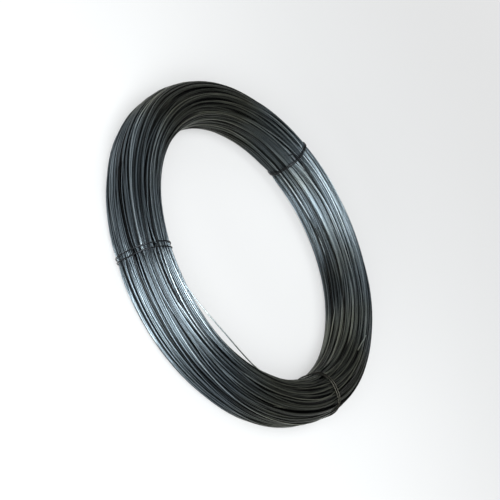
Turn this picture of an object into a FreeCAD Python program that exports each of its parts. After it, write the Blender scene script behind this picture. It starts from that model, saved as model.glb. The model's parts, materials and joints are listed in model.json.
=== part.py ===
"""Coil of binding wire: a ring of wound steel wire held by three short wire ties.

The winding is one turned solid with its bore. Each tie is a piece of the same wire: it passes
twice round the bundle, and its two ends are twisted together and bent down over the turns.

Frame, in millimetres: the coil lies flat, +Z is its axis and points up, and the origin is at the
centre of the ring at floor level. A tie is built in the plane of X and Z, where +X points away
from the axis, and is then turned about Z to its place on the ring.
"""

import FreeCAD, Part
import math
import os

import Sketcher
from FreeCAD import Placement, Rotation, Vector

# Alias, value and meaning of each driving size, in millimetres.
SIZES = (
    ("bore_diameter", 380, "clear opening through the winding"),
    ("bundle_width", 60, "wound bundle, measured outwards from the bore"),
    ("bundle_height", 68, "wound bundle, measured along the axis"),
    ("shoulder_radius", 26, "rounded shoulder at each corner of the bundle"),
    ("wire_diameter", 1.6, "binding wire, in the coil and in its ties"),
    ("tie_clearance", 0.3, "between a tie and the floor of its seat"),
    ("tie_depth", 0.2, "how far a tie's outer side lies below the bundle's surface"),
    ("seat_width", 13, "length of bundle that a tie draws in"),
    ("wrap_gap", 0.2, "between the two wraps of a tie"),
    ("end_clearance", 1.4, "between a tie's cut ends and the turns under them"),
)

# What differs from tie to tie, in degrees and millimetres. turn is the tie's place round the ring.
# knot is the direction from a shoulder's centre to the knot, where out is 1 for the shoulders away
# from the axis and up is 1 for the upper ones. Each cut end is an arc: hook leaves the knot
# anticlockwise round the ring and tail clockwise, and each holds a radius and the angle it sweeps.
TIES = {
    "tie_wire_back": dict(turn=117, knot=125, out=-1, up=1, hook=(14, 78), tail=(32, 36)),
    "tie_wire_front": dict(turn=256, knot=225, out=-1, up=-1, hook=(8, 60), tail=(12, 40)),
    "tie_wire_right": dict(turn=357, knot=315, out=1, up=-1, hook=(8, 60), tail=(12, 40)),
}

# Sizes that follow from the driving ones, as expressions on the sheet. A seat is deepest along its
# middle, so its depth has a last term for the wraps, which lie to either side of that.
INSET = "(sizes.tie_depth + sizes.wire_diameter / 2)"
WRAP_OFFSET = "((sizes.wire_diameter + sizes.wrap_gap) / 2)"
SEAT_DEPTH = ("(sizes.tie_depth + sizes.wire_diameter + sizes.tie_clearance"
              f" + {WRAP_OFFSET} ^ 2 / sizes.seat_width)")
SEAT_RADIUS = f"((sizes.seat_width ^ 2 / 4 + {SEAT_DEPTH} ^ 2) / 2 / {SEAT_DEPTH})"
SEAT_OFFSET = f"({SEAT_RADIUS} - {SEAT_DEPTH})"
OUTER_RADIUS = "(sizes.bore_diameter / 2 + sizes.bundle_width)"
KNOT_RISE = f"({INSET} + sizes.end_clearance + sizes.wire_diameter / 2)"

# The points of an edge and the origin, in the numbers that a sketch uses for them.
START, END, CENTRE = 1, 2, 3
ORIGIN = (-1, 1)
UP, ACROSS, NORMAL = Vector(0, 1, 0), Vector(1, 0, 0), Vector(0, 0, 1)


def make_sizes(document):
    """The spreadsheet that holds the driving sizes."""
    sheet = document.addObject("Spreadsheet::Sheet", "sizes")
    for row, (alias, value, meaning) in enumerate(SIZES, start=1):
        sheet.set(f"A{row}", meaning)
        sheet.set(f"B{row}", str(value))
        sheet.setAlias(f"B{row}", alias)
    document.recompute()
    return sheet


def make_sketch(body, name, role, turn=0, axis=NORMAL, at=("0", "0", "0")):
    """A sketch on one of the body's origin planes, turned and moved in that plane's own frame."""
    plane = next(f for f in body.Origin.OriginFeatures if f.Role == role)
    sketch = body.newObject("Sketcher::SketchObject", name)
    sketch.AttachmentSupport = [(plane, "")]
    sketch.MapMode = "FlatFace"
    sketch.AttachmentOffset = Placement(Vector(0, 0, 0), Rotation(axis, turn))
    for letter, expression in zip("xyz", at):
        sketch.setExpression(f"AttachmentOffset.Base.{letter}", expression)
    return sketch


def value_of(sketch, expression):
    """The number that an expression on the sheet stands for."""
    return float(sketch.evalExpression(expression))


def bind(sketch, kind, *where, size):
    """Adds a dimension that takes its value from an expression."""
    number = sketch.addConstraint(Sketcher.Constraint(kind, *where, value_of(sketch, size)))
    sketch.setExpression(f"Constraints[{number}]", size)


def arc_between(begin, finish, centre):
    """The arc round a centre that runs anticlockwise from begin to finish."""
    circle = Part.Circle(centre, NORMAL, (begin - centre).Length)
    return Part.ArcOfCircle(circle, circle.parameter(begin), circle.parameter(finish))


def draw_outline(sketch, inset):
    """Draws the bundle's cross-section, drawn in by an inset, starting up its outer side."""
    left = value_of(sketch, f"sizes.bore_diameter / 2 + {inset}")
    right = value_of(sketch, f"{OUTER_RADIUS} - {inset}")
    low = value_of(sketch, f"0 + {inset}")
    high = value_of(sketch, f"sizes.bundle_height - {inset}")
    radius = value_of(sketch, f"sizes.shoulder_radius - {inset}")

    outer = [Vector(right, low + radius), Vector(right, high - radius)]
    top = [Vector(right - radius, high), Vector(left + radius, high)]
    bore = [Vector(left, high - radius), Vector(left, low + radius)]
    base = [Vector(left + radius, low), Vector(right - radius, low)]
    sides = [outer, top, bore, base]
    edges = []
    for side, following in zip(sides, sides[1:] + sides[:1]):
        begin, finish = side[1], following[0]
        upright = side is outer or side is bore
        centre = Vector(finish.x, begin.y) if upright else Vector(begin.x, finish.y)
        edges.append(sketch.addGeometry(Part.LineSegment(*side), False))
        edges.append(sketch.addGeometry(arc_between(begin, finish, centre), False))

    for edge, following in zip(edges, edges[1:] + edges[:1]):
        sketch.addConstraint(Sketcher.Constraint("Tangent", edge, END, following, START))
    outer_side, arc, top_side, arc_2, bore_side, arc_3, base_side, arc_4 = edges
    for side in (outer_side, bore_side):
        sketch.addConstraint(Sketcher.Constraint("Vertical", side))
    for side in (top_side, base_side):
        sketch.addConstraint(Sketcher.Constraint("Horizontal", side))
    for other in (arc_2, arc_3, arc_4):
        sketch.addConstraint(Sketcher.Constraint("Equal", arc, other))
    bind(sketch, "Radius", arc, size=f"sizes.shoulder_radius - {inset}")
    bind(sketch, "DistanceX", *ORIGIN, bore_side, START, size=f"sizes.bore_diameter / 2 + {inset}")
    bind(sketch, "DistanceY", *ORIGIN, top_side, START, size=f"sizes.bundle_height - {inset}")
    bind(sketch, "DistanceX", bore_side, START, outer_side, START,
         size=f"sizes.bundle_width - 2 * {inset}")
    bind(sketch, "DistanceY", base_side, START, top_side, START,
         size=f"sizes.bundle_height - 2 * {inset}")


def draw_circle(sketch, radius, reach="0"):
    """Draws a circle at the sketch's origin, or at a distance along its horizontal axis."""
    place = Vector(value_of(sketch, reach), 0)
    circle = sketch.addGeometry(Part.Circle(place, NORMAL, value_of(sketch, radius)), False)
    if reach == "0":
        sketch.addConstraint(Sketcher.Constraint("Coincident", circle, CENTRE, *ORIGIN))
    else:
        sketch.addConstraint(Sketcher.Constraint("PointOnObject", circle, CENTRE, -1))
        bind(sketch, "DistanceX", *ORIGIN, circle, CENTRE, size=reach)
    bind(sketch, "Radius", circle, size=radius)


def sweep(body, kind, name, profile, spine):
    """Sweeps a profile along every edge of a spine, adding to the body or cutting from it."""
    pipe = body.newObject(kind, name)
    pipe.Profile = (profile, [""])
    pipe.Spine = (spine, [f"Edge{n + 1}" for n in range(len(spine.Shape.Edges))])
    body.Document.recompute()
    return pipe


def make_winding(document):
    """The wound bundle, turned round the axis, with a scooped seat wherever a tie draws it in."""
    body = document.addObject("PartDesign::Body", "winding")
    body.Label = "wire_coil"
    section = make_sketch(body, "section", "XZ_Plane")
    draw_outline(section, "0")
    turned = body.newObject("PartDesign::Revolution", "turned_section")
    turned.Profile = (section, [""])
    turned.ReferenceAxis = (section, ["V_Axis"])
    turned.Angle = 360
    document.recompute()

    for label, tie in TIES.items():
        path = make_sketch(body, f"{label}_seat_path", "XZ_Plane", tie["turn"], UP)
        draw_outline(path, f"(0 - {SEAT_OFFSET})")
        scoop = make_sketch(body, f"{label}_scoop", "XY_Plane", tie["turn"], NORMAL,
                            ("0", "0", "sizes.shoulder_radius"))
        draw_circle(scoop, SEAT_RADIUS, f"({OUTER_RADIUS} + {SEAT_OFFSET})")
        document.recompute()
        sweep(body, "PartDesign::SubtractivePipe", f"{label}_seat", scoop, path)
    return body


def along_knot(tie, distance):
    """Where a tie's knot is at a distance from its centreline, as expressions for X and Z."""
    across = height = "sizes.shoulder_radius"
    if tie["out"] > 0:
        across = "(sizes.bundle_width - sizes.shoulder_radius)"
    if tie["up"] > 0:
        height = "(sizes.bundle_height - sizes.shoulder_radius)"
    radius = f"(sizes.shoulder_radius - {INSET} + {distance})"
    return (f"sizes.bore_diameter / 2 + {across} + {radius} * cos({tie['knot']} deg)",
            f"{height} + {radius} * sin({tie['knot']} deg)")


def make_tie(document, label, tie):
    """One tie: a knot, the two wraps that pass through it and its two cut ends, all one solid."""
    body = document.addObject("PartDesign::Body", f"{label}_body")
    body.Label = label
    lean = 90 - tie["knot"]

    # The knot stands on the wraps as a short round post, square to the bundle's surface.
    x, z = along_knot(tie, "0")
    foot = make_sketch(body, f"{label}_knot_foot", "XY_Plane", lean, UP, (x, "0", z))
    draw_circle(foot, "sizes.wire_diameter")
    knot = body.newObject("PartDesign::Pad", f"{label}_knot")
    knot.Profile = (foot, [""])
    knot.setExpression("Length", f"{KNOT_RISE} + sizes.wire_diameter / 2")
    document.recompute()

    for side, along in (("left", f"0 + {WRAP_OFFSET}"), ("right", f"0 - {WRAP_OFFSET}")):
        # The XZ plane faces backwards along Y.
        place = ("0", "0", f"0 - ({along})")
        path = make_sketch(body, f"{label}_{side}_wrap_path", "XZ_Plane", at=place)
        draw_outline(path, INSET)
        place = ("0", along, "sizes.shoulder_radius")
        start = make_sketch(body, f"{label}_{side}_wrap_start", "XY_Plane", at=place)
        draw_circle(start, "sizes.wire_diameter / 2", f"({OUTER_RADIUS} - {INSET})")
        document.recompute()
        sweep(body, "PartDesign::AdditivePipe", f"{label}_{side}_wrap", start, path)

    x, z = along_knot(tie, KNOT_RISE)
    for end, way in (("hook", 1), ("tail", -1)):
        radius, angle = tie[end]
        path = make_sketch(body, f"{label}_{end}_path", "XY_Plane", lean, UP, (x, "0", z))
        centre = Vector(-radius, 0)
        tip = centre + Rotation(NORMAL, way * angle).multVec(Vector(radius, 0))
        ends = (Vector(0, 0), tip) if way > 0 else (tip, Vector(0, 0))
        arc = path.addGeometry(arc_between(*ends, centre), False)
        path.addConstraint(Sketcher.Constraint("Coincident", arc, START if way > 0 else END, *ORIGIN))
        path.addConstraint(Sketcher.Constraint("PointOnObject", arc, CENTRE, -1))
        path.addConstraint(Sketcher.Constraint("Radius", arc, radius))
        path.addConstraint(Sketcher.Constraint("Angle", arc, math.radians(angle)))
        start = make_sketch(body, f"{label}_{end}_start", "XZ_Plane", at=(x, z, "0"))
        draw_circle(start, "sizes.wire_diameter / 2")
        document.recompute()
        sweep(body, "PartDesign::AdditivePipe", f"{label}_{end}", start, path)

    body.Placement = Placement(Vector(0, 0, 0), Rotation(NORMAL, tie["turn"]))
    return body


def export(document, bodies):
    """Writes one STEP file for each body, once every feature has come out sound."""
    document.recompute()
    for feature in document.Objects:
        if "Invalid" in feature.State or "Error" in feature.State:
            raise RuntimeError(f"{feature.Label} can't be worked out: {feature.State}")
    os.makedirs("parts", exist_ok=True)
    for body in bodies:
        shape = body.Shape
        if not shape.isValid() or len(shape.Solids) != 1:
            raise RuntimeError(f"{body.Label} isn't one sound solid")
        shape.exportStep(f"parts/{body.Label}.step")
        print(body.Label, round(shape.Volume, 1), shape.BoundBox)


def main():
    """Builds the coil and its ties and exports them."""
    document = FreeCAD.newDocument("binding_wire_coil")
    make_sizes(document)
    bodies = [make_winding(document)]
    for label, tie in TIES.items():
        bodies.append(make_tie(document, label, tie))
    export(document, bodies)


main()
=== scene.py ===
"""A coil of bare steel binding wire, lying flat and held by three twisted wire ties.

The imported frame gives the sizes: the bore, the bundle's outside and its height. The turns of the
winding are laid one after another over a core of buried turns, each where the bundle is lowest,
and come to rest on the turns under them. Geometry Nodes then draw wire along every laid line.

Lengths are in metres and angles in radians. The coil's axis is Z and the floor is at zero.
"""

import json
import logging
import math
from collections.abc import Iterable, Sequence
from dataclasses import dataclass, field
from enum import Enum
from typing import Any

import bpy
import numpy as np
from mathutils import Matrix, Vector

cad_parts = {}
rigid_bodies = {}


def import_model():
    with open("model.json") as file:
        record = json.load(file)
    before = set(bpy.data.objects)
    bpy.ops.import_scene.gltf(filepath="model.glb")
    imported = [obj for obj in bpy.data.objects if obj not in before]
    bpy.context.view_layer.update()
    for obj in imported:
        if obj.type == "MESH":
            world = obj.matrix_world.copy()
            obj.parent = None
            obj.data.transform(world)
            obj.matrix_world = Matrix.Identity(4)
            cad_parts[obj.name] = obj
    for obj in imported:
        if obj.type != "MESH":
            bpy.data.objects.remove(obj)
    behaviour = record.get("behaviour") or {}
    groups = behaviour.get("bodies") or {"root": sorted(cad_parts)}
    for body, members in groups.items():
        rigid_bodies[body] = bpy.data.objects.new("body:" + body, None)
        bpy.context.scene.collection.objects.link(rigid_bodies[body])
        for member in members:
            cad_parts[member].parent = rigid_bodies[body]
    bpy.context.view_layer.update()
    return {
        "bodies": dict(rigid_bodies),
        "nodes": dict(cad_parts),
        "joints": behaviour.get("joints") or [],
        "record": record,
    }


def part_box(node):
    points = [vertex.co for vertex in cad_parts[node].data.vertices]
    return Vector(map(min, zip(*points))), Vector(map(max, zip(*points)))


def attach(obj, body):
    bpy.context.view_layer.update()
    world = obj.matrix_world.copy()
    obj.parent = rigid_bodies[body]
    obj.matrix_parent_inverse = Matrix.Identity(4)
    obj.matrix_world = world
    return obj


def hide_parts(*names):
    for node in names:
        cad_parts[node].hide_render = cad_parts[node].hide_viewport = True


LOG = logging.getLogger("binding_wire_coil")
MILLIMETRE = 0.001
FULL_TURN = 2 * math.pi


def signed(angle: Any) -> Any:
    """Angles, as numbers or an array, taken round to between minus and plus half a turn."""
    return (angle + math.pi) % FULL_TURN - math.pi


# ---------------------------------------------------------------- shape of the bundle


@dataclass(frozen=True)
class Section:
    """The bundle's cross-section: a rounded rectangle at a distance from the coil's axis.

    A place on it is a distance along its outline, which starts at the lower end of the upright
    outer side and runs up, over the top, down the bore side and back along the base.
    """

    bore_radius: float
    outer_radius: float
    height: float
    shoulder: float

    @classmethod
    def of_frame(cls, frame: dict[str, Any]) -> "Section":
        """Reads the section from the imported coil.


        Returns:
            The section, whose shoulder is what the bore's straight wall leaves of the height.
        """
        low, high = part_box("wire_coil")
        bore = next(m for m in frame["record"]["mounts"] if m["name"] == "bore")
        height = high[2] - low[2]
        wall = bore["dims"]["length_mm"] * MILLIMETRE
        return cls(bore["dims"]["r_mm"] * MILLIMETRE, high[0], height, (height - wall) / 2)

    @property
    def sides(self) -> np.ndarray:
        """Lengths of the eight parts of the outline.

        Returns:
            Straight parts and shoulders by turns, from the outer side round.
        """
        upright = self.height - 2 * self.shoulder
        level = self.outer_radius - self.bore_radius - 2 * self.shoulder
        bend = self.shoulder * math.pi / 2
        return np.array([upright, bend, level, bend] * 2)

    @property
    def perimeter(self) -> float:
        """Length of the whole outline."""
        return float(self.sides.sum())

    @property
    def middle(self) -> float:
        """Distance from the coil's axis to the middle of the bundle."""
        return (self.bore_radius + self.outer_radius) / 2

    def along_at(self, direction: float, out: int, up: int) -> float:
        """Where the outline faces a direction on one of its shoulders.

        Args:
            direction: Angle of the outward normal, from straight out and towards straight up.
            out: 1 for a shoulder away from the axis, -1 for one at the bore.
            up: 1 for an upper shoulder, -1 for a lower one.

        Returns:
            The distance along the outline.
        """
        corner = {(1, 1): 0, (-1, 1): 1, (-1, -1): 2, (1, -1): 3}[(out, up)]
        before = float(self.sides[: 2 * corner + 1].sum())
        return before + (direction - corner * math.pi / 2) * self.shoulder

    def facing(self, along: np.ndarray) -> tuple[np.ndarray, np.ndarray, np.ndarray]:
        """The outline's shoulder centre and direction at places along it.

        Args:
            along: Distances along the outline, of any size.

        Returns:
            Radius and height of the centre that the place is a shoulder's radius from, and the
            angle of the outward normal.
        """
        ends = np.cumsum(self.sides)
        along = np.mod(along, self.perimeter)
        part = np.minimum(np.searchsorted(ends, along, side="right"), 7)
        over = along - (ends - self.sides)[part]
        corner, bending = part // 2, part % 2 == 1
        near, far = self.bore_radius + self.shoulder, self.outer_radius - self.shoulder
        low, high = self.shoulder, self.height - self.shoulder
        radius = np.array([far, far, near, near])[corner]
        height = np.array([low, high, high, low])[corner]
        step_out = np.array([0.0, -1.0, 0.0, 1.0])[corner]
        step_up = np.array([1.0, 0.0, -1.0, 0.0])[corner]
        slid = np.where(bending, self.sides[part - 1], over)
        direction = corner * math.pi / 2 + np.where(bending, over / self.shoulder, 0.0)
        return radius + step_out * slid, height + step_up * slid, direction

    def points(self, turn: np.ndarray, along: np.ndarray, rise: np.ndarray) -> np.ndarray:
        """Points near the bundle's surface.

        Args:
            turn: Angles round the coil's axis.
            along: Distances along the outline.
            rise: Heights above the outline, square to it.

        Returns:
            An array of points, with X, Y and Z last.
        """
        radius, height, direction = self.facing(along)
        radius = radius + (self.shoulder + rise) * np.cos(direction)
        height = height + (self.shoulder + rise) * np.sin(direction)
        return np.stack([radius * np.cos(turn), radius * np.sin(turn), height], -1)


@dataclass(frozen=True)
class TiePlace:
    """Where a tie sits and how its knot and cut ends lie.

    Attributes:
        node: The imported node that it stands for.
        turn: Angle round the coil's axis.
        knot: Direction of the surface under the knot.
        out: 1 if the knot is on a shoulder away from the axis, -1 if at the bore.
        up: 1 if that shoulder is an upper one, -1 if a lower one.
        hook: Radius and sweep of the cut end that leaves anticlockwise.
        tail: Radius and sweep of the one that leaves clockwise.
        spread: How far apart the two wraps lie where they're furthest from the knot.
    """

    node: str
    turn: float
    knot: float
    out: int
    up: int
    hook: tuple[float, float]
    tail: tuple[float, float]
    spread: float


TIES = (
    TiePlace("tie_wire_back", math.radians(117), math.radians(125), -1, 1,
             (14 * MILLIMETRE, math.radians(78)), (32 * MILLIMETRE, math.radians(36)), 3.4 * MILLIMETRE),
    TiePlace("tie_wire_front", math.radians(256), math.radians(225), -1, -1,
             (8 * MILLIMETRE, math.radians(60)), (12 * MILLIMETRE, math.radians(40)), 7 * MILLIMETRE),
    TiePlace("tie_wire_right", math.radians(357), math.radians(315), 1, -1,
             (8 * MILLIMETRE, math.radians(60)), (12 * MILLIMETRE, math.radians(40)), 4.6 * MILLIMETRE),
)


# ---------------------------------------------------------------- laying the turns


@dataclass
class Line:
    """The centreline of one piece of wire.

    Attributes:
        points: One row of X, Y and Z for each station.
        closed: Whether the last station joins the first.
        tone: How light or dark this length of wire is, from 0 to 1.
        unshaded: How far it is free of painted shade, from 0 to 1, for each station or for all.
    """

    points: np.ndarray
    closed: bool
    tone: float
    bare: np.ndarray | float = 1.0


@dataclass(frozen=True)
class Opening:
    """A long narrow gap between turns, shaped like a lens.

    Attributes:
        turn: Angle round the coil's axis at its middle.
        reach: Angle from its middle to either tip.
        along: Distance along the outline at its middle.
        slope: How far it drifts along the outline in a radian of the coil.
        width: Its width at the middle.
    """

    turn: float
    reach: float
    along: float
    slope: float
    width: float


@dataclass
class Turn:
    """One laid turn: where it runs on the bundle at each station, and how high its middle is."""

    along: np.ndarray
    rise: np.ndarray
    tone: float


class Wave:
    """A smooth random wave round the coil, which meets itself after a full turn."""

    def __init__(self, random: np.random.Generator, size: float, cycles: Iterable[int]) -> None:
        """Draws the wave's parts.

        Args:
            random: Source of random numbers.
            size: Rough height of the wave.
            cycles: How many times each part rises and falls in one turn.
        """
        self.cycles = np.array(list(cycles))
        self.sizes = random.normal(0, size, len(self.cycles)) / self.cycles**0.8
        self.phases = random.uniform(0, FULL_TURN, len(self.cycles))

    def at(self, turn: np.ndarray) -> np.ndarray:
        """The wave's height at angles round the coil."""
        return (self.sizes * np.cos(np.outer(turn, self.cycles) + self.phases)).sum(1)


@dataclass
class Winding:
    """Lays the turns of the coil.

    Attributes:
        section: The bundle's cross-section.
        wire: Diameter of the wire.
        depth: Thickness of the laid turns, over the core.
        stations_a_turn: Points on each turn, besides those added at the ties.
        seat_depths: How far a tie draws the turns in on the base, and elsewhere.
        seat_width: Length of bundle that it draws in.
        openings: How many long gaps part the turns.
        loosest: Angle round the coil where the gaps are widest.
        band_depth: How high loose bands are laid, from the finished surface.
        proud: How far the last turns may stand above the finished surface.
        waves: How many waves shape the finished surface.
        wave_height: Greatest height of each.
        groove_depth: The most that they add up to.
        crossings: How many single turns are laid last, over the others.
        most_settled: The most turns that are laid in the valleys.
        patience: Bands, and turns in valleys, that find no room before laying them stops.
        seed: Seed of everything random in the winding.
    """

    section: Section
    wire: float
    depth: float = 9.5 * MILLIMETRE
    stations_a_turn: int = 105
    seat_depths: tuple[float, float] = (1.75 * MILLIMETRE, 0.3 * MILLIMETRE)
    seat_width: float = 24 * MILLIMETRE
    openings: int = 84
    loosest: float = math.radians(180)
    band_depth: float = -4.9 * MILLIMETRE
    proud: float = 0.4 * MILLIMETRE
    waves: int = 26
    wave_height: float = 0.14 * MILLIMETRE
    groove_depth: float = 3.2 * MILLIMETRE
    crossings: int = 24
    most_settled: int = 420
    patience: tuple[int, int] = (12, 15)
    seed: int = 41
    turns: list[Turn] = field(default_factory=list)

    def __post_init__(self) -> None:
        """Sets out the stations and the grid that holds the height of the bundle."""
        middle = self.section.middle
        even = np.arange(self.stations_a_turn) * FULL_TURN / self.stations_a_turn
        # A few more at each tie follow its seat, in place of even ones that come too near them.
        steps = np.array([-11, -7, -3.5, 0, 3.5, 7, 11]) * MILLIMETRE / middle
        near = np.concatenate([tie.turn + steps for tie in TIES])
        gap = np.abs(signed(even[:, None] - near)).min(1)
        kept = even[gap > 3 * MILLIMETRE / middle]
        self.stations = np.sort(np.concatenate([kept, near % FULL_TURN]))
        self.cells = round(self.section.perimeter / (self.wire / 4))
        self.cell = self.section.perimeter / self.cells
        self.random = np.random.default_rng(self.seed)
        self.limit = self.ceiling()
        self.surface = self.limit - self.depth
        self.rows = np.arange(len(self.stations))[:, None]
        self.gaps = [self.spread_out(self.opening()) for _ in range(self.openings)]

    def opening(self) -> Opening:
        """Draws one of the gaps between turns.

        Returns:
            A gap, which is wider where the bundle is loose. Most are narrow.
        """
        draw = self.random
        turn = draw.uniform(0, FULL_TURN)
        loose = 1 + 0.8 * math.exp(-(signed(turn - self.loosest) / 0.7) ** 2)
        reach, along = draw.uniform(0.3, 1.1), draw.uniform(0, self.section.perimeter)
        slope = draw.normal(0, 2.5) * MILLIMETRE
        width = (0.7 + 2.3 * draw.random() ** 2.5) * loose * MILLIMETRE
        return Opening(turn, reach, along, slope, width)

    def parted(self, path: np.ndarray) -> np.ndarray:
        """A path bent away from the openings, so that none is bridged.

        Args:
            path: Distances along the outline, one for each station.

        Returns:
            The bent path.
        """
        bent, blunt, fade = path.copy(), 0.25 * MILLIMETRE, 3.5 * MILLIMETRE
        for width, centre in self.gaps:
            aside = self.across(path - centre)
            bent += aside / np.hypot(aside, blunt) * np.exp(-np.abs(aside) / fade) * width / 2
        return bent

    def spread_out(self, gap: Opening) -> tuple[np.ndarray, np.ndarray]:
        """How wide a gap is at each station, and where.

        Args:
            gap: The gap.

        Returns:
            Its widths, and the distances along the outline of its middle.
        """
        ahead = signed(self.stations - gap.turn)
        share = np.cos(np.clip(ahead / gap.reach, -1, 1) * math.pi / 2) ** 2
        return share * gap.width, gap.along + gap.slope * ahead

    def across(self, distance: np.ndarray) -> np.ndarray:
        """Distances along the outline, taken the shorter way round."""
        perimeter = self.section.perimeter
        return (distance + perimeter / 2) % perimeter - perimeter / 2

    def ceiling(self) -> np.ndarray:
        """How high the finished bundle comes: level, less the grooves where its bands part.

        Returns:
            Heights by station and by cell along the outline.
        """
        along = np.arange(self.cells) * FULL_TURN / self.cells
        height = np.zeros((len(self.stations), self.cells))
        for _ in range(self.waves):
            round_coil, round_bundle = self.random.integers(-3, 4), self.random.integers(4, 20)
            phase = self.random.uniform(0, FULL_TURN)
            size = self.random.uniform(0.4, 1.0) * self.wave_height
            height += size * np.cos(round_coil * self.stations[:, None] + round_bundle * along + phase)
        return np.clip(height, -self.groove_depth, 0) - 0.1 * MILLIMETRE

    def under(self, path: np.ndarray) -> tuple[np.ndarray, np.ndarray]:
        """The cells that a wire covers, and how far its surface there is from its middle.

        Args:
            path: Distances along the outline, one for each station.

        Returns:
            Cell numbers and distances, by station and by cell across the wire.
        """
        nearest = np.rint(path / self.cell).astype(int)
        cells = nearest[:, None] + np.arange(-2, 3)
        aside = cells * self.cell - path[:, None]
        reach = np.sqrt(np.maximum((self.wire / 2) ** 2 - aside**2, 0))
        return cells % self.cells, np.where(np.abs(aside) < self.wire / 2, reach, -1.0)

    def rest(self, path: np.ndarray) -> np.ndarray:
        """How high the middle of a wire lies once it is laid along a path.

        Args:
            path: Distances along the outline, one for each station.

        Returns:
            Heights. The wire bridges hollows between the turns that it rests on.
        """
        cells, reach = self.under(path)
        height = (self.surface[self.rows, cells] + reach).max(1)
        held = np.max([np.roll(height, k) for k in range(-2, 3)], 0)
        weights = (1, 3, 5, 6, 5, 3, 1)
        return sum(w * np.roll(held, k - 3) for k, w in enumerate(weights)) / sum(weights)

    def excess(self, path: np.ndarray, rise: np.ndarray) -> np.ndarray:
        """How far the top of a laid wire stands above the finished bundle's ceiling."""
        cells = np.rint(path / self.cell).astype(int) % self.cells
        return rise + self.wire / 2 - self.limit[self.rows[:, 0], cells]

    def band(self, count: int, sway: float) -> np.ndarray:
        """Paths of turns that run side by side, before the band is given its place.

        Args:
            count: How many turns the band has.
            sway: How far the band wanders across the bundle.

        Returns:
            Distances along the outline, by turn and by station.
        """
        pitch = self.wire * self.random.uniform(1.01, 1.1)
        wander = Wave(self.random, sway, (1, 2, 3, 4, 5)).at(self.stations)
        opening = np.abs(Wave(self.random, 0.22, (1, 2, 3, 4)).at(self.stations))
        places = (np.arange(count) - (count - 1) / 2)[:, None] * pitch * (1 + opening)
        jitter = [Wave(self.random, 0.1 * MILLIMETRE, range(2, 7)).at(self.stations) for _ in range(count)]
        return wander + places + np.array(jitter)

    def lay_band(self, count: int, sway: float, tries: int, allowed: float) -> int:
        """Lays one band where the bundle is lowest.

        Args:
            count: How many turns it has.
            sway: How far it wanders across the bundle.
            tries: How many places are compared.
            allowed: How far its turns may stand above the ceiling.

        Returns:
            How many of its turns were laid. Those that would stand too high are left out.
        """
        paths = self.band(count, sway)
        starts = self.random.uniform(0, self.section.perimeter, tries)
        middles = [self.parted(paths[count // 2] + start) for start in starts]
        scores = [np.quantile(self.excess(middle, self.rest(middle)), 0.8) for middle in middles]
        base_tone, laid = self.random.uniform(0.4, 0.62), 0
        for loose in paths + starts[int(np.argmin(scores))]:
            path = self.parted(loose)
            rise = self.rest(path)
            excess = self.excess(path, rise)
            if excess.mean() > allowed or np.quantile(excess, 0.93) > allowed + 0.9 * self.wire:
                continue
            self.put(path, rise, self.some_tone(base_tone))
            laid += 1
        return laid

    def keep_clear(self) -> np.ndarray:
        """Keeps the openings free of turns that are laid in the valleys.

        Returns:
            The cost of laying wire in each cell, by station and by cell.
        """
        along = np.arange(self.cells) * self.cell
        cost = np.zeros((len(self.stations), self.cells))
        price, narrow = 30, 0.45 * MILLIMETRE
        for widths, centres in self.gaps:
            width, centre = widths[:, None], centres[:, None]
            in_gap = np.abs(self.across(along - centre)) < (self.wire + width) / 2
            cost += price * in_gap * (width > narrow)
        return cost

    def valley(self, clear: np.ndarray) -> np.ndarray:
        """The lowest path round the bundle, as a wire that is wound on would find it.

        Args:
            clear: Extra cost of each cell, from keep_clear.

        Returns:
            Distances along the outline, one for each station.
        """
        reach = 2  # cells that the path may move across from one station to the next
        around = [np.roll(self.surface, k, 1) - (k * self.cell) ** 2 / self.wire for k in range(-2, 3)]
        height = (np.max(around, 0) - self.limit) / MILLIMETRE + 8
        cost = np.maximum(height, 0) ** 2.5 + clear + self.random.uniform(0, 6, height.shape)
        start = int(np.argmin(cost.sum(0) + self.random.uniform(0, 0.35, self.cells) * cost.sum(0).mean()))
        total = np.full(self.cells, np.inf)
        total[start] = 0.0
        moves = np.arange(-reach, reach + 1)
        came = np.zeros(cost.shape, int)
        for station in range(len(self.stations)):
            options = np.stack([np.roll(total, move) + 0.8 * move**2 for move in moves])
            came[station] = moves[options.argmin(0)]
            total = options.min(0) + cost[station]
        # From the last station the path has to reach its start again.
        place = start + int(moves[np.argmin([total[(start + move) % self.cells] for move in moves])])
        path = np.empty(len(self.stations))
        for station in reversed(range(len(self.stations))):
            path[station] = place
            place -= came[station, place % self.cells]
        even = sum(np.roll(path, k) * w for k, w in zip(range(-3, 4), (1, 2, 3, 4, 3, 2, 1))) / 16
        return even * self.cell

    def put(self, path: np.ndarray, rise: np.ndarray, tone: float) -> None:
        """Adds a turn, and raises the bundle's surface to its top.

        Args:
            path: Distances along the outline, one for each station.
            rise: Heights of its middle.
            tone: How light or dark it is.
        """
        cells, reach = self.under(path)
        top = np.where(reach >= 0, rise[:, None] + reach, -1.0)
        self.surface[self.rows, cells] = np.maximum(self.surface[self.rows, cells], top)
        self.turns.append(Turn(path, rise, tone))

    def some_tone(self, usual: float) -> float:
        """A turn's tone: near the usual one, or dull where its skin has stayed on."""
        dull = self.random.random() < 0.2
        return float(np.clip((0.12 if dull else usual) + self.random.normal(0, 0.14), 0, 1))

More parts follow.
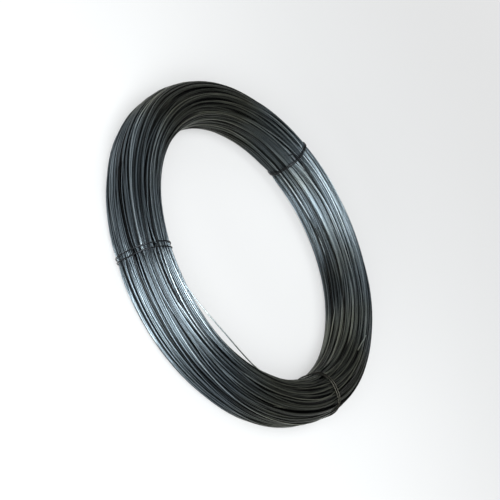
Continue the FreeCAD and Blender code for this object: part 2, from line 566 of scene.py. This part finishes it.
    def settle(self) -> int:
        """Lays turns in the valleys, one to three abreast, until there's no more room.

        Returns:
            How many were laid.
        """
        clear, misses, laid = self.keep_clear(), 0, 0
        while laid < self.most_settled and misses < self.patience[1]:
            valley, abreast, before = self.valley(clear), int(self.random.integers(1, 4)), laid
            usual = self.random.uniform(0.42, 0.64)
            for place in np.arange(abreast) - (abreast - 1) / 2:
                path = self.parted(valley + place * 1.04 * self.wire) if abreast > 1 else valley
                rise = self.rest(path)
                excess = self.excess(path, rise)
                if excess.mean() < self.proud and np.quantile(excess, 0.93) < 1.2 * self.wire:
                    self.put(path, rise, self.some_tone(usual))
                    laid += 1
            misses = 0 if laid > before else misses + 1
        return laid

    def lay(self) -> None:
        """Lays loose bands and fills the valleys over them, then drops the turns that can't show."""
        misses = 0
        while misses < self.patience[0]:
            wide = self.random.random() < 0.75
            count = int(self.random.integers(5, 22)) if wide else int(self.random.integers(1, 5))
            sway = self.random.choice([1.0, 2.2, 4.5], p=[0.55, 0.35, 0.1]) * MILLIMETRE
            misses = 0 if self.lay_band(count, sway, 12, self.band_depth) else misses + 1
        in_bands = len(self.turns)
        LOG.info("laid %d turns in bands and %d in the valleys", in_bands, self.settle())
        for _ in range(self.crossings):
            self.lay_band(1, self.random.choice([1.5, 4.0]) * MILLIMETRE, 16, self.proud)
        laid = len(self.turns)
        self.turns = [turn for turn in self.turns if self.shows(turn)]
        LOG.info("laid %d turns, of which %d lie near the surface", laid, len(self.turns))

    def shows(self, turn: Turn) -> bool:
        """Whether enough of a turn lies near the surface or under a gap in it.

        Args:
            turn: A laid turn.

        Returns:
            True if a seventh of it or more has less than about a wire's thickness over it.
        """
        cells, _ = self.under(turn.along)
        cover = self.surface[self.rows, cells].min(1) - turn.rise - self.wire / 2
        return float((cover < 1.3 * self.wire).mean()) > 0.14

    def drawn_in(self, turn: np.ndarray, along: np.ndarray) -> np.ndarray:
        """How far the ties draw the turns in.

        Args:
            turn: Angles round the coil.
            along: Distances along the outline, one for each angle.

        Returns:
            Depths, which are greatest on the base, where a tie may not stand proud.
        """
        share = np.zeros_like(along)
        for tie in TIES:
            away = signed(turn - tie.turn) * self.section.middle
            share += np.exp(-((away / (self.seat_width / 2)) ** 2))
        base, elsewhere = self.seat_depths
        down = np.abs(self.section.facing(along)[2] - 1.5 * math.pi)
        return share * (elsewhere + (base - elsewhere) * np.clip(1.9 - down / 0.75, 0, 1))

    def line(self, turn: Turn) -> Line:
        """The centreline of a laid turn, drawn in at the ties and held inside the coil's box.

        Args:
            turn: The laid turn.

        Returns:
            The line. It's unshaded where little lies over it, and darkened towards near black, as painted
            shade, where much does.
        """
        top = self.highest(turn.along) - self.wire / 2
        rise = np.minimum(turn.rise, top) - self.drawn_in(self.stations, turn.along)
        cells, _ = self.under(turn.along)
        wide = (cells[:, 2:3] + np.arange(-7, 8)) % self.cells
        over = self.surface[self.rows, wide].max(1) - turn.rise - self.wire / 2
        # Painted shade: the more wire lies over a turn, the darker it is coloured.
        bare = np.exp(-np.maximum(over / self.wire - 0.5, 0) / 0.5)
        return Line(self.section.points(self.stations, turn.along, rise), True, turn.tone, bare)

    def highest(self, along: np.ndarray) -> np.ndarray:
        """How far wire may stand above the outline: not at all where it faces the floor."""
        facing_floor = np.abs(self.section.facing(along)[2] - 1.5 * math.pi) < 0.9
        return np.where(facing_floor, 0.0, 0.5 * MILLIMETRE)

    def top_at(self, turn: float, along: np.ndarray) -> np.ndarray:
        """Height of the drawn-in bundle's highest turns where a tie crosses them.

        Args:
            turn: The tie's angle round the coil.
            along: Distances along the outline.

        Returns:
            Heights above the outline.
        """
        near = np.argsort(np.abs(signed(self.stations - turn)))[:3]
        cells = np.rint(along / self.cell).astype(int) % self.cells
        top = np.minimum(self.surface[near][:, cells].max(0), self.highest(along))
        return top - self.drawn_in(np.full_like(along, turn), along)


# ---------------------------------------------------------------- materials


class Value:
    """One socket of a node tree, on which Python's operators add Math nodes."""

    def __init__(self, tree: "Shader", socket: bpy.types.NodeSocket) -> None:
        """Wraps an output socket of a shader's tree."""
        self.tree, self.socket = tree, socket

    def math(self, operation: str, *others: Any, clamp: bool = False) -> "Value":
        """Adds a Math node.

        Args:
            operation: The node's operation.
            *others: The values after this one, as numbers or Values.
            clamp: Whether the result is kept between 0 and 1.

        Returns:
            The node's result.
        """
        node = self.tree.node("ShaderNodeMath", {"operation": operation, "use_clamp": clamp},
                              dict(enumerate((self, *others))))
        return Value(self.tree, node.outputs[0])

    def __add__(self, other: Any) -> "Value":
        """The sum with a number or a Value."""
        return self.math("ADD", other)

    def __sub__(self, other: Any) -> "Value":
        """The difference from a number or a Value."""
        return self.math("SUBTRACT", other)

    def __rsub__(self, other: float) -> "Value":
        """A number less this value."""
        return (self * -1).math("ADD", other)

    def __mul__(self, other: Any) -> "Value":
        """The product with a number or a Value."""
        return self.math("MULTIPLY", other)

    def clamped(self) -> "Value":
        """This value kept between 0 and 1."""
        return self.math("ADD", 0.0, clamp=True)

    __radd__ = __add__
    __rmul__ = __mul__


class Shader:
    """The node tree of a material or of the world, with one method that adds any node."""

    def __init__(self, owner: Any) -> None:
        """Empties the owner's tree and adds its output.

        Args:
            owner: A material or a world.
        """
        owner.use_nodes = True
        self.nodes, self.links = owner.node_tree.nodes, owner.node_tree.links
        self.nodes.clear()
        world = isinstance(owner, bpy.types.World)
        self.output = self.nodes.new("ShaderNodeOutputWorld" if world else "ShaderNodeOutputMaterial")

    def node(self, kind: str, settings: dict[str, Any] | None = None,
             inputs: dict[Any, Any] | None = None) -> bpy.types.Node:
        """Adds a node.

        Args:
            kind: The node's type.
            settings: Its properties. A ramp's stops are pairs of a place and a colour.
            inputs: Values or links of its sockets, by name or number.

        Returns:
            The node.
        """
        node = self.nodes.new(kind)
        for name, value in (settings or {}).items():
            if name == "stops":
                self.set_stops(node.color_ramp, value)
            else:
                setattr(node, name, value)
        for name, value in (inputs or {}).items():
            socket = node.inputs[name]
            if isinstance(value, Value):
                self.links.new(value.socket, socket)
            elif isinstance(value, bpy.types.NodeSocket):
                self.links.new(value, socket)
            else:
                socket.default_value = value
        return node

    @staticmethod
    def set_stops(ramp: bpy.types.ColorRamp, stops: Sequence[tuple[float, Sequence[float]]]) -> None:
        """Replaces a ramp's stops.

        Args:
            ramp: The ramp.
            stops: Pairs of a place and a colour.
        """
        while len(ramp.elements) > 1:
            ramp.elements.remove(ramp.elements[-1])
        ramp.elements[0].position, ramp.elements[0].color = stops[0][0], (*stops[0][1], 1)
        for place, colour in stops[1:]:
            ramp.elements.new(place).color = (*colour, 1)

    def value(self, kind: str, settings: dict[str, Any] | None = None,
              inputs: dict[Any, Any] | None = None, output: Any = 0) -> Value:
        """Adds a node and gives one of its outputs as a Value."""
        return Value(self, self.node(kind, settings, inputs).outputs[output])

    def mix(self, amount: Any, first: Any, second: Any, blend: str = "MIX") -> bpy.types.NodeSocket:
        """Mixes two colours.

        Args:
            amount: How much of the second one, as a number or a Value.
            first: A colour or the socket of one.
            second: The other colour.
            blend: The Mix node's way of blending.

        Returns:
            The socket of the mixed colour.
        """
        colours = [(*c, 1) if isinstance(c, tuple) and len(c) == 3 else c for c in (first, second)]
        node = self.node("ShaderNodeMix", {"data_type": "RGBA", "blend_type": blend},
                         {0: amount, 6: colours[0], 7: colours[1]})
        return node.outputs[2]


@dataclass(frozen=True)
class WireFinish:
    """Drawn steel wire, with painted shade where it lies deep among other turns.

    Attributes:
        name: The material's name.
        dark: Colour of the darkest lengths.
        middle: Colour of most of the wire.
        light: Colour of the brightest lengths, where the skin has rubbed off.
        painted_side_shade: What the colour is multiplied by for painted shade, a brownish darkening of the
            two sides that the highlights miss.
        painted_shade: Painted shade: the colour towards which wire that lies deep between others is
            darkened.
        roughness: Lowest and highest roughness.
    """

    name: str
    dark: tuple[float, float, float] = (0.019, 0.021, 0.022)
    middle: tuple[float, float, float] = (0.122, 0.150, 0.170)
    light: tuple[float, float, float] = (0.52, 0.60, 0.64)
    painted_side_shade: tuple[float, float, float] = (1.0, 0.88, 0.66)
    painted_shade: tuple[float, float, float] = (0.008, 0.0085, 0.009)
    roughness: tuple[float, float] = (0.27, 0.43)

    def build(self) -> bpy.types.Material:
        """Builds the material.

        Returns:
            A material that reads the attributes tone, which differs from turn to turn, and unshaded, which
            sets its painted shade.
        """
        material = bpy.data.materials.new(self.name)
        shader = Shader(material)
        place = shader.node("ShaderNodeTexCoord").outputs["Object"]
        tone = shader.value("ShaderNodeAttribute", {"attribute_name": "tone"}, output="Fac")
        bare = shader.value("ShaderNodeAttribute", {"attribute_name": "bare"}, output="Fac")
        # A fourth coordinate sets each turn's pattern apart from that of its neighbours.
        own = {"noise_dimensions": "4D"}
        drift = shader.value("ShaderNodeTexNoise", own,
                             {"Vector": place, "W": tone * 37.0, "Scale": 11.0, "Detail": 3.0})
        rub = shader.value("ShaderNodeTexNoise", own,
                           {"Vector": place, "W": tone * 91.0, "Scale": 48.0, "Detail": 4.0})
        patch = shader.value("ShaderNodeTexNoise", None, {"Vector": place, "Scale": 7.0, "Detail": 2.0})
        fine = shader.value("ShaderNodeTexNoise", None, {"Vector": place, "Scale": 1400.0, "Detail": 2.0})

        level = (tone * 0.75 + drift * 0.5 + (rub - 0.5) * 0.14 - 0.14).clamped()
        stops = ((0.12, self.dark), (0.5, self.middle), (0.95, self.light))
        colour = shader.node("ShaderNodeValToRGB", {"stops": stops}, {0: level}).outputs[0]
        side = shader.value("ShaderNodeSeparateXYZ", None, {0: place}, "Y").math("ABSOLUTE")
        # Painted shade: the two sides of the coil near the XZ plane, which the highlights miss, are
        # darkened and tinted brown, broken up by noise.
        side_shade_mask = ((patch + 0.2 - side * 4.0) * 3.0).clamped()
        colour = shader.mix(side_shade_mask, colour, self.painted_side_shade, "MULTIPLY")
        # Painted shade: wire that lies deep among other turns is mixed towards a near-black colour.
        colour = shader.mix(1 - bare, colour, self.painted_shade)
        low, high = self.roughness
        rough = (rub * 0.6 + fine * 0.4) * (high - low) + low
        bump = shader.node("ShaderNodeBump", None, {"Strength": 0.12, "Distance": 0.0001, "Height": fine})
        surface = shader.node("ShaderNodeBsdfPrincipled", None, {
            "Base Color": colour, "Metallic": 1.0, "Roughness": rough, "Normal": bump.outputs[0]})
        shader.links.new(surface.outputs[0], shader.output.inputs["Surface"])
        return material


# ---------------------------------------------------------------- drawing the wire


@dataclass
class WireDrawer:
    """Draws round wire along lines with Geometry Nodes.

    Attributes:
        diameter: The wire's diameter.
        sides: Faces round the wire.
    """

    diameter: float
    sides: int = 8

    def tree(self) -> bpy.types.NodeTree:
        """Builds the tree that turns guide lines into wire.

        Returns:
            A tree whose inputs are Wire Diameter, Sides and Finish.
        """
        tree = bpy.data.node_groups.new("draw_wire", "GeometryNodeTree")
        sockets = tree.interface
        sockets.new_socket("Lines", in_out="INPUT", socket_type="NodeSocketGeometry")
        sockets.new_socket("Wire Diameter", in_out="INPUT", socket_type="NodeSocketFloat")
        sockets.new_socket("Sides", in_out="INPUT", socket_type="NodeSocketInt")
        sockets.new_socket("Finish", in_out="INPUT", socket_type="NodeSocketMaterial")
        sockets.new_socket("Wire", in_out="OUTPUT", socket_type="NodeSocketGeometry")
        add, join = tree.nodes.new, tree.links.new
        given, result = add("NodeGroupInput"), add("NodeGroupOutput")

        curve = add("GeometryNodeMeshToCurve")
        join(given.outputs["Lines"], curve.inputs["Mesh"])
        radius = add("ShaderNodeMath")
        radius.operation = "MULTIPLY"
        join(given.outputs["Wire Diameter"], radius.inputs[0])
        radius.inputs[1].default_value = 0.5
        circle = add("GeometryNodeCurvePrimitiveCircle")
        join(given.outputs["Sides"], circle.inputs["Resolution"])
        join(radius.outputs[0], circle.inputs["Radius"])
        numbered = add("GeometryNodeStoreNamedAttribute")
        numbered.data_type, numbered.domain = "FLOAT", "POINT"
        numbered.inputs["Name"].default_value = "side"
        join(circle.outputs["Curve"], numbered.inputs["Geometry"])
        join(add("GeometryNodeInputIndex").outputs[0], numbered.inputs["Value"])
        wire = add("GeometryNodeCurveToMesh")
        wire.inputs["Fill Caps"].default_value = True
        join(curve.outputs["Curve"], wire.inputs["Curve"])
        join(numbered.outputs["Geometry"], wire.inputs["Profile Curve"])
        smooth = add("GeometryNodeSetShadeSmooth")
        join(wire.outputs["Mesh"], smooth.inputs["Geometry"])
        real = add("GeometryNodeRealizeInstances")
        join(smooth.outputs["Geometry"], real.inputs["Geometry"])
        dressed = add("GeometryNodeSetMaterial")
        join(real.outputs["Geometry"], dressed.inputs["Geometry"])
        join(given.outputs["Finish"], dressed.inputs["Material"])
        join(dressed.outputs["Geometry"], result.inputs["Wire"])
        return tree

    def guides(self, name: str, lines: Sequence[Line]) -> bpy.types.Object:
        """Makes the mesh of edges that the tree draws wire along.

        Args:
            name: The object's name.
            lines: The centrelines.

        Returns:
            An object whose points hold the attributes tone, unshaded, turn and station.
        """
        counts = np.array([len(line.points) for line in lines])
        first = np.cumsum(counts) - counts
        edges = []
        for line, start, count in zip(lines, first, counts):
            here = np.arange(start, start + count - 1)
            edges.append(np.stack([here, here + 1], 1))
            if line.closed:
                edges.append(np.array([[start + count - 1, start]]))
        mesh = bpy.data.meshes.new(name)
        points = np.concatenate([line.points for line in lines])
        mesh.from_pydata(points.tolist(), np.concatenate(edges).tolist(), [])
        values = {
            "tone": np.repeat([line.tone for line in lines], counts),
            "turn": np.repeat(np.arange(len(lines)), counts),
            "station": np.concatenate([np.arange(count) for count in counts]),
            "bare": np.concatenate([np.broadcast_to(line.bare, len(line.points)) for line in lines]),
        }
        for attribute, numbers in values.items():
            layer = mesh.attributes.new(attribute, "FLOAT", "POINT")
            layer.data.foreach_set("value", numbers.astype(np.float32))
        guide = bpy.data.objects.new(name, mesh)
        bpy.context.collection.objects.link(guide)
        return guide

    def draw(self, name: str, lines: Sequence[Line], finish: bpy.types.Material) -> bpy.types.Object:
        """Draws wire along lines as one plain mesh.

        Args:
            name: The piece's name.
            lines: The centrelines.
            finish: The wire's material.

        Returns:
            The piece, with a UV map for each length of wire.
        """
        guide = self.guides(f"{name}_guides", lines)
        modifier = guide.modifiers.new("wire", "NODES")
        modifier.node_group = self.tree()
        given = {"Wire Diameter": self.diameter, "Sides": self.sides, "Finish": finish}
        for item in modifier.node_group.interface.items_tree:
            if item.in_out == "INPUT" and item.name in given:
                modifier[item.identifier] = given[item.name]
        drawn = guide.evaluated_get(bpy.context.evaluated_depsgraph_get())
        mesh = bpy.data.meshes.new_from_object(drawn)
        mesh.name = name
        bpy.data.objects.remove(guide)
        self.unroll(mesh, lines)
        piece = bpy.data.objects.new(name, mesh)
        bpy.context.collection.objects.link(piece)
        return piece

    def unroll(self, mesh: bpy.types.Mesh, lines: Sequence[Line]) -> None:
        """Gives drawn wire its UV map: a row for each length, read back and forth round it.

        Args:
            mesh: The drawn wire, with the attributes turn, station and side.
            lines: The centrelines that it was drawn along.
        """
        corner = np.empty(len(mesh.loops), int)
        mesh.loops.foreach_get("vertex_index", corner)
        starts = np.empty(len(mesh.polygons), int)
        mesh.polygons.foreach_get("loop_start", starts)
        at: dict[str, np.ndarray] = {}
        for name in ("turn", "station", "side"):
            numbers = np.empty(len(mesh.vertices), np.float32)
            mesh.attributes[name].data.foreach_get("value", numbers)
            at[name] = numbers[corner]
            mesh.attributes.remove(mesh.attributes[name])
        totals = np.diff(np.append(starts, len(corner)))
        longest = max(len(line.points) for line in lines)
        lengths = np.array([len(line.points) for line in lines])[at["turn"].astype(int)]
        least = np.repeat(np.minimum.reduceat(at["station"], starts), totals)
        most = np.repeat(np.maximum.reduceat(at["station"], starts), totals)
        # The faces that close a turn reach from its last station to its first.
        closing = most - least > 1.5
        u = np.where(closing & (at["station"] == least), lengths, at["station"]) / longest
        half = self.sides / 2
        across = (half - np.abs(at["side"] - half)) / half
        v = (at["turn"] + 0.14 + 0.72 * across) / len(lines)
        layer = mesh.uv_layers.new(name="OFBake")
        layer.data.foreach_set("uv", np.stack([u, v], 1).astype(np.float32).ravel())


# ---------------------------------------------------------------- pieces


class Region(Enum):
    """The parts of the winding, each drawn as a piece of its own, from the outer side round."""

    OUTER = "outer_turns"
    UPPER = "upper_turns"
    BORE_EDGE = "bore_edge_turns"
    BORE = "bore_turns"
    UNDER = "under_turns"


@dataclass
class WoundBundle:
    """The winding: its laid turns, and the core of turns that they hide.

    Attributes:
        winding: The laid turns.
        drawer: What draws the wire.
        finish: The wire's material.
        core_steps: Faces of the core round the coil and round the bundle.
    """

    winding: Winding
    drawer: WireDrawer
    finish: bpy.types.Material
    core_steps: tuple[int, int] = (144, 56)

    def build(self) -> list[bpy.types.Object]:
        """Builds the pieces that stand for the winding.

        Returns:
            A piece for each region, with as many turns each, and the core.
        """
        turns = sorted(self.winding.turns, key=self.middle)
        share = math.ceil(len(turns) / len(Region))
        pieces = []
        for number, region in enumerate(Region):
            part = turns[number * share:(number + 1) * share]
            lines = [self.winding.line(turn) for turn in part]
            pieces.append(self.drawer.draw(region.value, lines, self.finish))
        pieces.append(self.core())
        for piece in pieces:
            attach(piece, "root")
            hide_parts("wire_coil")
            LOG.info("%s: %d faces", piece.name, len(piece.data.polygons))
        return pieces

    def middle(self, turn: Turn) -> float:
        """A turn's mean place along the outline, counted from below the outer side."""
        section = self.winding.section
        return float((turn.along.mean() + section.sides[7] / 2) % section.perimeter)

    def core(self) -> bpy.types.Object:
        """The buried turns, as one closed and smooth dark ring.

        Returns:
            The piece.
        """
        winding, (round_coil, round_bundle) = self.winding, self.core_steps
        turn = np.arange(round_coil) * FULL_TURN / round_coil
        along = np.arange(round_bundle) * winding.section.perimeter / round_bundle
        turns, alongs = np.meshgrid(turn, along, indexing="ij")
        rise = np.full_like(turns, -winding.depth - 0.5 * MILLIMETRE)
        points = winding.section.points(turns, alongs, rise).reshape(-1, 3)
        here = np.arange(round_coil)[:, None] * round_bundle + np.arange(round_bundle)
        ahead, beside = np.roll(here, -1, 0), np.roll(here, -1, 1)
        faces = np.stack([here, ahead, np.roll(ahead, -1, 1), beside], -1).reshape(-1, 4)
        mesh = bpy.data.meshes.new("buried_turns")
        mesh.from_pydata(points.tolist(), [], faces.tolist())
        mesh.shade_smooth()
        mesh.materials.append(self.finish)
        # Painted shade: the core has no tone and full shade, so it shows near black through the gaps.
        for name in ("tone", "bare"):
            layer = mesh.attributes.new(name, "FLOAT", "POINT")
            layer.data.foreach_set("value", np.zeros(len(points), np.float32))
        core = bpy.data.objects.new("buried_turns", mesh)
        bpy.context.collection.objects.link(core)
        return core


@dataclass
class WireTie:
    """A tie: wire that passes twice round the bundle, with its ends twisted and bent down.

    Attributes:
        place: Where it sits.
        winding: The bundle that it holds.
        drawer: What draws the wire.
        finish: The wire's material.
        twist_height: How far its twist stands out from the bundle.
        twists: Full turns in it.
    """

    place: TiePlace
    winding: Winding
    drawer: WireDrawer
    finish: bpy.types.Material
    twist_height: float = 2.1 * MILLIMETRE
    twists: float = 1.0

    def build(self) -> bpy.types.Object:
        """Builds the tie.

        Returns:
            One piece, with two wraps and two ends.
        """
        lines = [Line(self.wrap(side), True, 0.30) for side in (-1, 1)]
        lines += [Line(self.end(side), False, 0.36) for side in (-1, 1)]
        piece = self.drawer.draw(f"{self.place.node}_wire", lines, self.finish)
        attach(piece, "root")
        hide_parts(self.place.node)
        LOG.info("%s: %d faces", piece.name, len(piece.data.polygons))
        return piece

    @property
    def knot_along(self) -> float:
        """Where the knot is along the outline."""
        return self.winding.section.along_at(self.place.knot, self.place.out, self.place.up)

    def ride_height(self, along: np.ndarray) -> np.ndarray:
        """How high the middle of a wrap lies: taut over the ridges, clear of the hollows.

        Args:
            along: Distances along the outline.

        Returns:
            Heights above the outline.
        """
        top = self.winding.top_at(self.place.turn, along)
        steps = range(-9, 10)
        held = np.max([np.roll(top, k) for k in steps], 0)
        return np.mean([np.roll(held, k) for k in steps], 0) + self.drawer.diameter / 2

    def beside(self, points: np.ndarray, aside: np.ndarray) -> np.ndarray:
        """Points moved along the tangent of the coil at the tie."""
        turn = self.place.turn
        return points + aside[:, None] * np.array([-math.sin(turn), math.cos(turn), 0.0])

    def wrap(self, side: int) -> np.ndarray:
        """The centreline of one wrap.

        Args:
            side: 1 for the wrap that lies anticlockwise, -1 for the other.

        Returns:
            Its points. The wraps meet at the knot and part a little away from it.
        """
        section, steps = self.winding.section, 180
        along = self.knot_along + np.arange(steps) * section.perimeter / steps
        turn = np.full(steps, self.place.turn)
        points = section.points(turn, along, self.ride_height(along))
        away = np.sin(np.pi * np.arange(steps) / steps) ** 0.7
        sway = 0.35 * MILLIMETRE * np.sin(np.arange(steps) * FULL_TURN / steps * 3 + side)
        closest = self.drawer.diameter * 0.52
        gap = closest + (self.place.spread / 2 - closest) * away
        return self.beside(points, side * gap + sway * away)

    def end(self, side: int) -> np.ndarray:
        """The centreline of one end: its share of the twist, then the cut end.

        Args:
            side: 1 for the end that leaves anticlockwise, -1 for the other.

        Returns:
            Its points, from the surface out.
        """
        place, half = self.place, self.drawer.diameter / 2
        section = self.winding.section
        turn, knot = np.array([place.turn]), np.array([self.knot_along])
        base = float(self.ride_height(np.array([self.knot_along]))[0])
        foot = section.points(turn, knot, np.array([base]))[0]
        outward = section.points(turn, knot, np.array([base + 1.0]))[0] - foot
        tangent = np.array([-math.sin(place.turn), math.cos(place.turn), 0.0])
        across = np.cross(tangent, outward)
        climb = np.linspace(0, 1, 16)
        angle = (climb - 1) * self.twists * FULL_TURN + side * math.pi / 2
        helix = (foot + np.outer(climb * self.twist_height, outward)
                 + half * np.outer(np.sin(angle), tangent) + half * np.outer(np.cos(angle), across))
        radius, sweep = place.hook if side > 0 else place.tail
        bend = np.linspace(0, 1, 14)[1:] * sweep
        lead = side * (radius * np.sin(bend) + half)
        aside = -radius * (1 - np.cos(bend))
        cut = helix[-1] + np.outer(lead, tangent) + np.outer(aside, across)
        lift = 0.3 * MILLIMETRE * np.sin(np.linspace(0, math.pi, len(bend)))
        return np.concatenate([helix, cut + np.outer(lift, outward)])


@dataclass
class StrayWire:
    """The lengths of the winding that don't lie with the rest: a slack one and the outer end.

    Attributes:
        section: The bundle's cross-section.
        drawer: What draws the wire.
        finish: The wire's material.
    """

    section: Section
    drawer: WireDrawer
    finish: bpy.types.Material

    def build(self) -> bpy.types.Object:
        """Builds both lengths.

        Returns:
            One piece.
        """
        lines = [Line(self.slack(), False, 0.85), Line(self.outer_end(), False, 0.95)]
        piece = self.drawer.draw("stray_wire", lines, self.finish)
        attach(piece, "root")
        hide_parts("wire_coil")
        LOG.info("%s: %d faces", piece.name, len(piece.data.polygons))
        return piece

    def slack(self) -> np.ndarray:
        """The centreline of a slack turn where it stands off the upper bore edge.

        Returns:
            Its points. Both ends go down among the other turns.
        """
        share = np.linspace(0, 1, 60)
        turn = np.radians(266 + 54 * share)
        along = (75.5 + 11.5 * share) * MILLIMETRE
        rise = (-2.2 + 8.6 * np.sin(math.pi * share) ** 1.4) * MILLIMETRE
        return self.section.points(turn, along, rise)

    def outer_end(self) -> np.ndarray:
        """The centreline of the winding's outer end.

        Returns:
            Its points, from among the other turns to the tip, which springs up a little.
        """
        share = np.linspace(0, 1, 30)
        turn = np.radians(24 + 9 * share)
        along = (67.0 - 6.0 * share**1.4) * MILLIMETRE
        rise = (-1.6 + 2.6 * share**1.5) * MILLIMETRE
        return self.section.points(turn, along, rise)


# ---------------------------------------------------------------- studio


@dataclass(frozen=True)
class SoftBox:
    """A rectangular lamp that lights the coil from a direction.

    Attributes:
        name: The lamp's name.
        azimuth: Direction round the coil's axis, in degrees.
        elevation: Direction above the floor, in degrees.
        distance: From the coil's middle.
        size: The lamp's level side and its other side.
        power: In watts.
    """

    name: str
    azimuth: float
    elevation: float
    distance: float
    size: tuple[float, float]
    power: float

    def build(self, middle: Vector) -> bpy.types.Object:
        """Builds the lamp.

        Args:
            middle: The coil's middle, which it faces.

        Returns:
            The lamp.
        """
        data = bpy.data.lights.new(self.name, "AREA")
        data.shape, data.energy, data.color = "RECTANGLE", self.power, (0.95, 0.985, 1.0)
        data.size, data.size_y = self.size
        lamp = bpy.data.objects.new(self.name, data)
        bpy.context.collection.objects.link(lamp)
        turn, tilt = math.radians(self.azimuth), math.radians(self.elevation)
        away = Vector((math.cos(tilt) * math.cos(turn), math.cos(tilt) * math.sin(turn), math.sin(tilt)))
        lamp.location = middle + away * self.distance
        lamp.rotation_euler = away.to_track_quat("Z", "Y").to_euler()
        return lamp


@dataclass
class Studio:
    """The floor, the lights and the camera.

    Attributes:
        middle: The coil's middle.
        elevation: The camera's height above the floor, in degrees.
        roll: How far the camera leans about its own axis, in degrees.
        distance: From the camera to the coil's middle.
        lens: The camera's focal length, in millimetres.
    """

    middle: Vector
    elevation: float = 34.2
    roll: float = -64.0
    distance: float = 1.654
    lens: float = 86.4

    def build(self) -> None:
        """Builds everything round the coil."""
        self.world()
        self.floor()
        self.camera()
        for lamp in (
            SoftBox("key_lamp", -81, 38, 1.9, (1.5, 1.1), 60),
            SoftBox("front_lamp", -82, 8, 2.1, (1.9, 0.6), 96),
            SoftBox("top_lamp", 75, 80, 1.9, (1.0, 1.0), 14),
            SoftBox("side_lamp", 172, 38, 2.2, (1.0, 1.0), 6),
        ):
            lamp.build(self.middle)
        bpy.context.scene.view_settings.view_transform = "Standard"

    def world(self) -> None:
        """A world that is lighter at the horizon than overhead, so that round wire shows its shape."""
        world = bpy.data.worlds.new("studio")
        bpy.context.scene.world = world
        shader = Shader(world)
        sky = shader.node("ShaderNodeTexCoord").outputs["Generated"]
        height = shader.value("ShaderNodeSeparateXYZ", None, {0: sky}, "Z")
        levels = ((0.0, 0.44), (0.16, 0.4), (0.5, 0.09), (1.0, 0.09))
        stops = tuple((place, (level, level, level)) for place, level in levels)
        shade = shader.node("ShaderNodeValToRGB", {"stops": stops}, {0: height})
        back = shader.node("ShaderNodeBackground", None, {"Color": shade.outputs[0], "Strength": 1.0})
        shader.links.new(back.outputs[0], shader.output.inputs["Surface"])

    def floor(self) -> None:
        """A plain pale floor that keeps the coil's shadow and turns plain white away from it."""
        half = 20.0
        corners = [(-half, -half, 0), (half, -half, 0), (half, half, 0), (-half, half, 0)]
        mesh = bpy.data.meshes.new("floor")
        mesh.from_pydata(corners, [], [(0, 1, 2, 3)])
        material = bpy.data.materials.new("pale_floor")
        shader = Shader(material)
        path = shader.node("ShaderNodeLightPath").outputs
        kinds = ("Camera", "Glossy", "Transmission")
        seen, gloss, glass = (Value(shader, path[f"Is {kind} Ray"]) for kind in kinds)
        shown = (seen + gloss + glass).clamped()
        matt = shader.node("ShaderNodeBsdfDiffuse", None, {"Color": (0.62, 0.62, 0.62, 1)})
        glow = shader.node("ShaderNodeEmission", None, {"Color": (1, 1, 1, 1), "Strength": 1.0})
        place = shader.node("ShaderNodeTexCoord").outputs["Object"]
        distance = shader.value("ShaderNodeVectorMath", {"operation": "LENGTH"}, {0: place}, "Value")
        far = ((distance - 0.6) * 0.4).clamped()
        share = shown * (far * 0.55 + 0.45)
        both = shader.node("ShaderNodeMixShader", None, {0: share, 1: matt.outputs[0], 2: glow.outputs[0]})
        shader.links.new(both.outputs[0], shader.output.inputs["Surface"])
        mesh.materials.append(material)
        floor = bpy.data.objects.new("floor", mesh)
        bpy.context.collection.objects.link(floor)

    def camera(self) -> None:
        """The camera, which looks along +Y and down on the coil."""
        data = bpy.data.cameras.new("camera")
        data.lens, data.sensor_width = self.lens, 36.0
        camera = bpy.data.objects.new("camera", data)
        bpy.context.collection.objects.link(camera)
        tilt, roll = math.radians(self.elevation), math.radians(self.roll)
        back = Vector((0.0, -math.cos(tilt), math.sin(tilt)))
        right, up = Vector((1.0, 0.0, 0.0)), Vector((0.0, math.sin(tilt), math.cos(tilt)))
        leaned_right = right * math.cos(roll) - up * math.sin(roll)
        leaned_up = right * math.sin(roll) + up * math.cos(roll)
        turned = Matrix((leaned_right, leaned_up, back)).transposed()
        camera.matrix_world = Matrix.Translation(self.middle + back * self.distance) @ turned.to_4x4()
        bpy.context.scene.camera = camera


def main() -> None:
    """Builds the coil, its ties and the studio."""
    logging.basicConfig(level=logging.INFO, format="%(name)s: %(message)s")
    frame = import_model()
    section = Section.of_frame(frame)
    wire = 1.6 * MILLIMETRE
    drawer = WireDrawer(wire)
    winding = Winding(section, wire)
    winding.lay()
    wire_finish = WireFinish("annealed_wire").build()
    WoundBundle(winding, drawer, wire_finish).build()
    StrayWire(section, drawer, wire_finish).build()
    tie_finish = WireFinish("tie_wire", dark=(0.010, 0.011, 0.012), middle=(0.038, 0.041, 0.045),
                            light=(0.30, 0.33, 0.35)).build()
    for place in TIES:
        WireTie(place, winding, drawer, tie_finish).build()
    Studio(Vector((0.0, 0.0, section.height / 2))).build()


if __name__ == "__main__":
    main()
